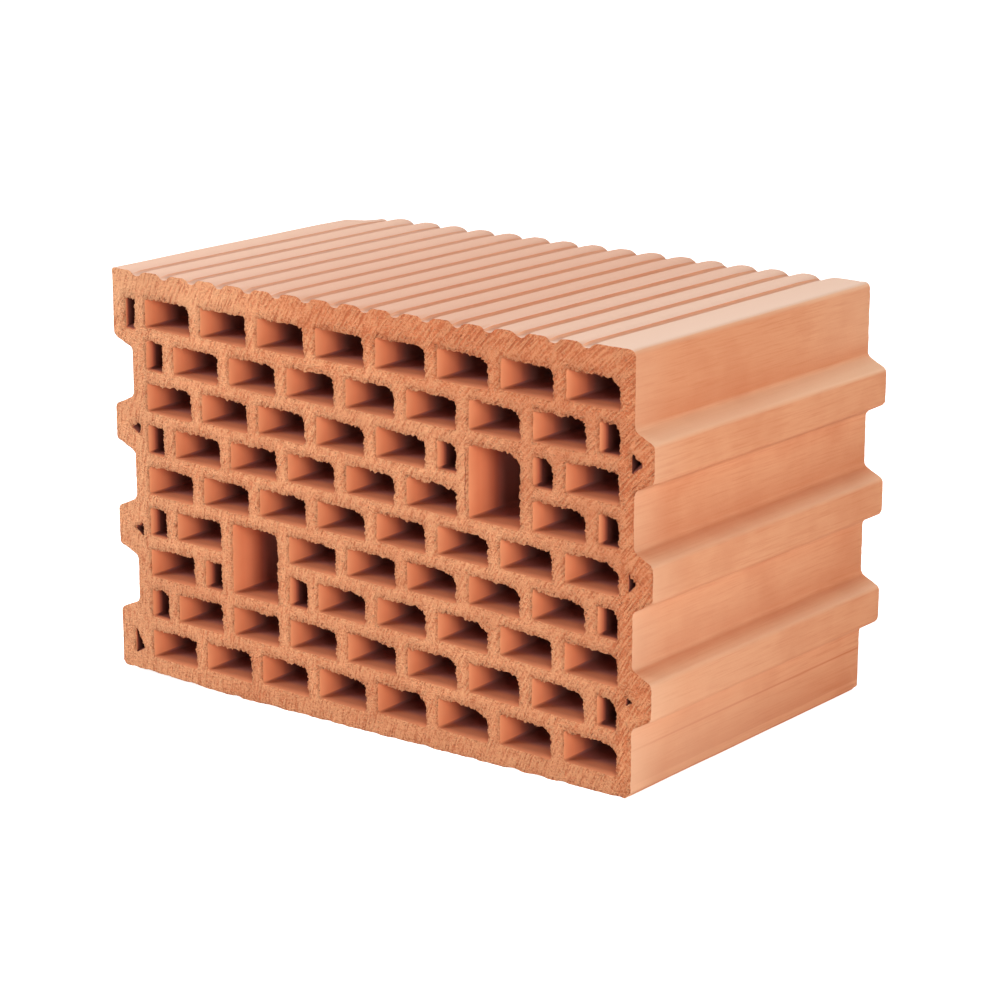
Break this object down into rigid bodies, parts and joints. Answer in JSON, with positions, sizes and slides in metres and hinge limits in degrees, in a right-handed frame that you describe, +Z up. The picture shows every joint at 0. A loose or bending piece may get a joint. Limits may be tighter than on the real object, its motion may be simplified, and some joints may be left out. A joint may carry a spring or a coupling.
{
  "type": "perforated clay wall block",
  "caption": "Fired clay wall block with rows of rectangular holes, grip holes, tongue-and-groove head faces and a grooved plaster face.",
  "frame": {"origin": "middle of the plain long side that the block lies on, under the middle of its bounding box", "axes": "+X along the wall, from the grooved head face to the tongued one; +Y along the extrusion, from the front wire-cut face to the back one; +Z up, from the plain face to the plaster face"},
  "size_m": [0.3928, 0.238, 0.25],
  "materials": {
    "fired_clay": "matte"
  },
  "bodies": {
    "root": {"clay_block": "fired_clay"}
  },
  "joints": []
}
